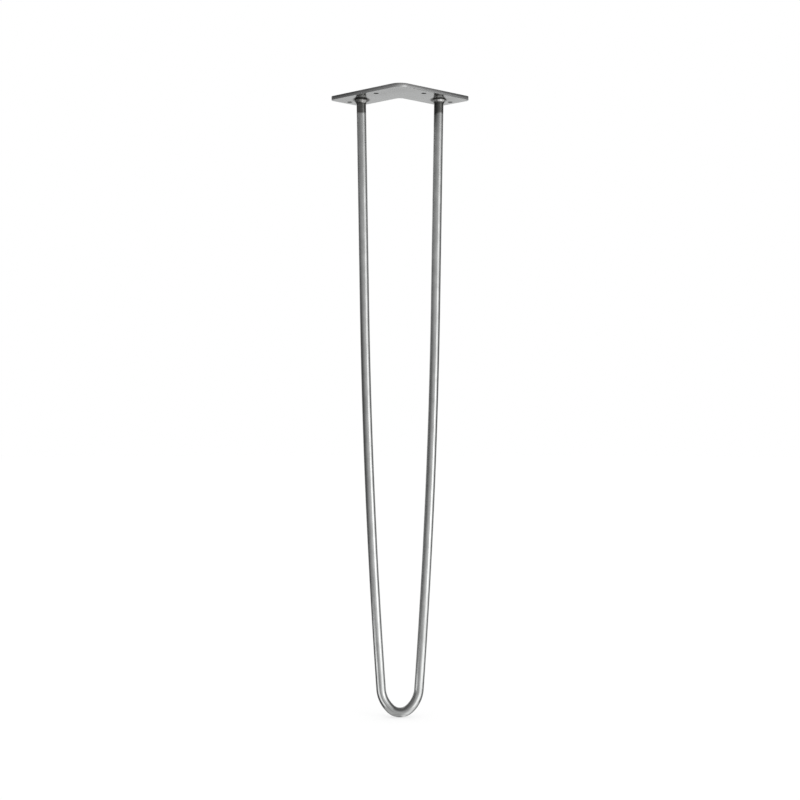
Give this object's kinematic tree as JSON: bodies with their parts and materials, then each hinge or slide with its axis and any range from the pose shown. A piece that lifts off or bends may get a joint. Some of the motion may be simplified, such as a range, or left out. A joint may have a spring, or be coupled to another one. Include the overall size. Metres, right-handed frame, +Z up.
{
  "type": "hairpin table leg",
  "caption": "Hairpin table leg: a round steel bar bent into a long bowed U, welded under an L-shaped screw plate.",
  "frame": {"origin": "on the plate's table-side face, where the centrelines of its two wings cross", "axes": "+Z up, out of the plate into the table top; -Y towards the plate's outer corner; +X to the right arm as seen from that corner"},
  "size_m": [0.1582, 0.1075, 0.71],
  "materials": {
    "rod_steel": "satin, bare, heat-tinted dark below the welds",
    "plate_steel": "satin, bare, laser-cut edges",
    "weld_steel": "bare rippled weld bead, sooted at its edges"
  },
  "bodies": {
    "root": {"hairpin_rod": "rod_steel", "mounting_plate": "plate_steel", "left_weld": "weld_steel", "right_weld": "weld_steel"}
  },
  "joints": []
}
